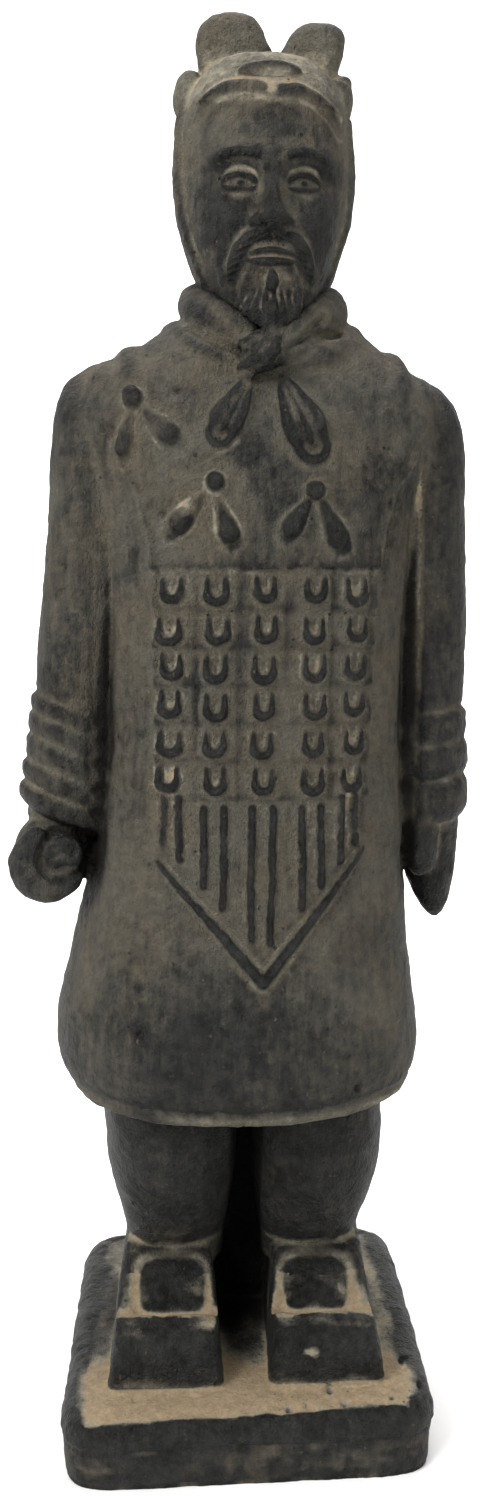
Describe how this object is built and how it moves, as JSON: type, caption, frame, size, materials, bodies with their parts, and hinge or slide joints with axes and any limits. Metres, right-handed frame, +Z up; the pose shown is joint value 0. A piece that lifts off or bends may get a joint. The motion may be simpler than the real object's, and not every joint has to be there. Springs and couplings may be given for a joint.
{
  "type": "terracotta warrior statue",
  "caption": "Standing officer in a long coat with laced armour panel, knotted scarf and double-crested cap, on a square slab, in dark fired clay.",
  "frame": {"origin": "on the underside of the slab, below the middle of the figure", "axes": "+Z up through the figure, -Y the way its face looks, +X towards its left hand"},
  "size_m": [0.1334, 0.1167, 0.4006],
  "materials": {
    "fired_clay": "matte, dusty in the hollows"
  },
  "bodies": {
    "root": {"terracotta_warrior": "fired_clay"}
  },
  "joints": []
}
